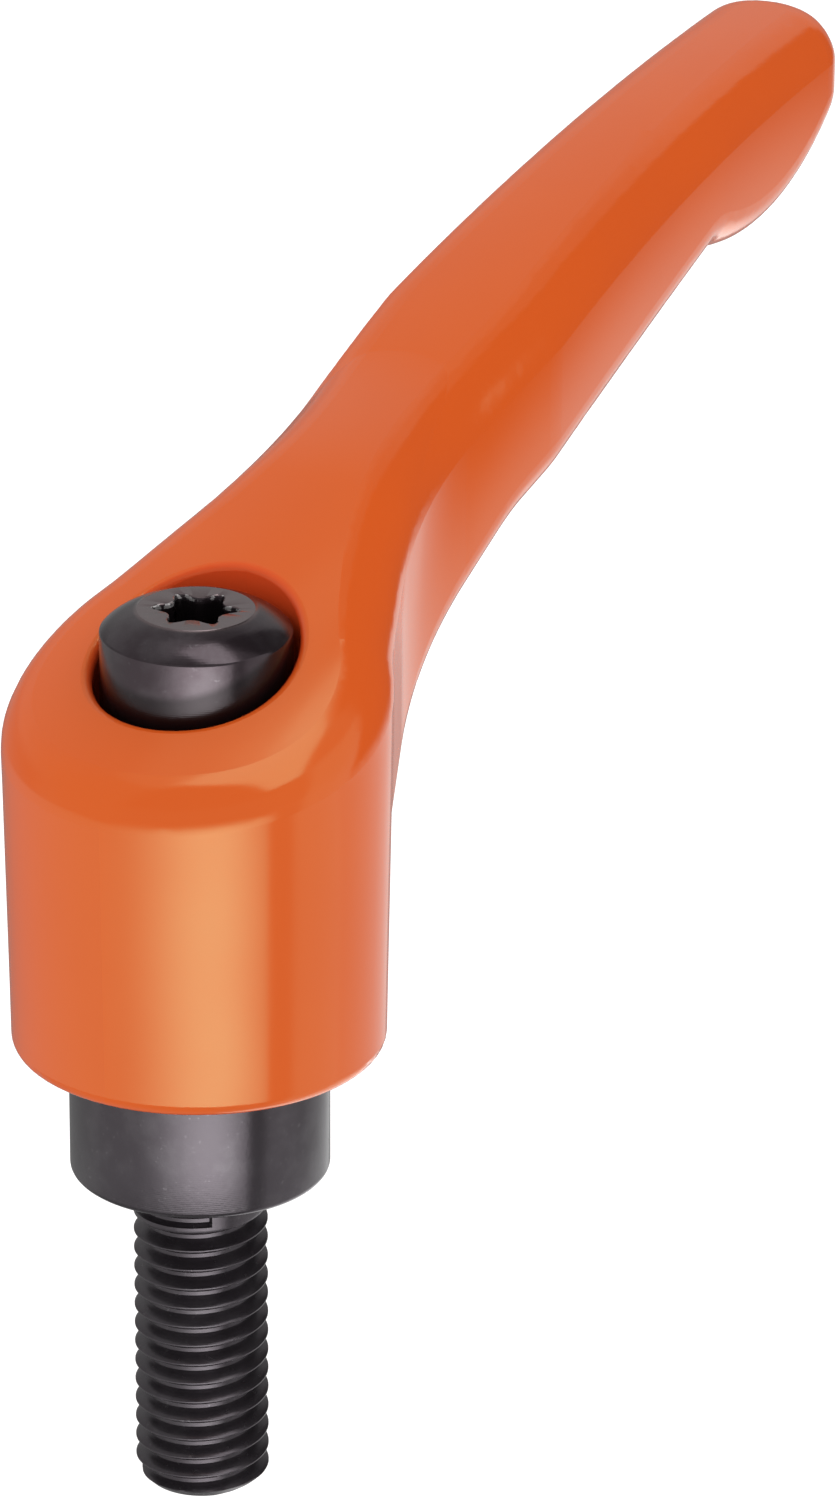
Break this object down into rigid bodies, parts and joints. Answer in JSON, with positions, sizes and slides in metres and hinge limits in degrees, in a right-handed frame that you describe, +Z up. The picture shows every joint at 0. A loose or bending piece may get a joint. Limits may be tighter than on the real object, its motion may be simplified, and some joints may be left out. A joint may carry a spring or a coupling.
{
  "type": "adjustable clamping lever",
  "caption": "Ratcheting clamping lever: a bent, tapering die-cast arm on a round hub, with a collared threaded stud below and a sprung retaining screw in the hub's top.",
  "frame": {"origin": "centre of the collar's underside, where the collar meets the threaded stud", "axes": "-Z along the stud towards its tip, +Z up through the hub, +X along the arm towards its tip, +Y completes a right-handed frame"},
  "size_m": [0.0896, 0.0228, 0.0716],
  "materials": {
    "lever_coat": "satin powder coat with a fine grain",
    "black_steel": "black oxide, turned",
    "spring_steel": "drawn wire"
  },
  "bodies": {
    "stud": {"threaded_insert": "black_steel", "retaining_screw": "black_steel"},
    "spring": {"spring": "spring_steel"},
    "lever": {"lever": "lever_coat"}
  },
  "joints": [
    {"name": "lever_lift", "type": "slide", "parent": "stud", "child": "spring", "axis": [0, 0, 1], "range_m": [0, 0.005], "stiffness_N_per_m": 1500, "springref_m": -0.003, "deforming": ["spring"]},
    {"name": "lever_turn", "type": "hinge", "parent": "spring", "child": "lever", "pos_m": [0, 0, 0], "axis": [0, 0, 1], "continuous": true}
  ]
}
